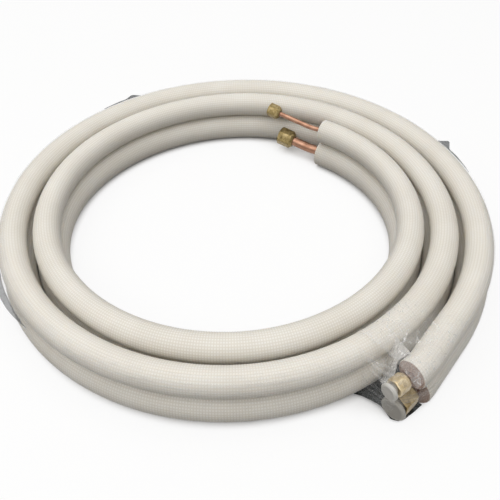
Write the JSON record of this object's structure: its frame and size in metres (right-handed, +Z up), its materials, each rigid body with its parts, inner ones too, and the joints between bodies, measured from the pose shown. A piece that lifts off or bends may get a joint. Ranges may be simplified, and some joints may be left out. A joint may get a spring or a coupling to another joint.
{
  "type": "copper tube coil",
  "caption": "Flat coil of paired soft copper tube in white foam sleeves, wound together, with brass flare nuts, push-in end caps and a clear film wrap.",
  "frame": {"origin": "middle of the coil's box, on the floor that it lies on", "axes": "+Z up along the axis of the coil, +X along its longer side, -Y towards the side with the capped outer ends"},
  "size_m": [0.5726, 0.5515, 0.0722],
  "materials": {
    "copper": "bright drawn copper",
    "foam": "embossed closed-cell foam skin",
    "brass": "forged and turned",
    "cap": "translucent moulded polyethylene",
    "film": "clear stretch film"
  },
  "bodies": {
    "coil": {"gas_tube": "copper", "liquid_tube": "copper", "gas_sleeve": "foam", "liquid_sleeve": "foam", "gas_nut_outer": "brass", "liquid_nut_outer": "brass", "gas_cap": "cap", "liquid_cap": "cap", "wrap_film": "film"},
    "gas_nut": {"gas_nut_inner": "brass"},
    "liquid_nut": {"liquid_nut_inner": "brass"}
  },
  "joints": [
    {"name": "gas_nut_spin", "type": "hinge", "parent": "coil", "child": "gas_nut", "pos_m": [0.0559, 0.17807, 0.02483], "axis": [-0.8605, 0.4849, 0.1564], "continuous": true},
    {"name": "liquid_nut_spin", "type": "hinge", "parent": "coil", "child": "liquid_nut", "pos_m": [0.03934, 0.1874, 0.06207], "axis": [-0.8605, 0.4849, 0.1564], "continuous": true}
  ]
}
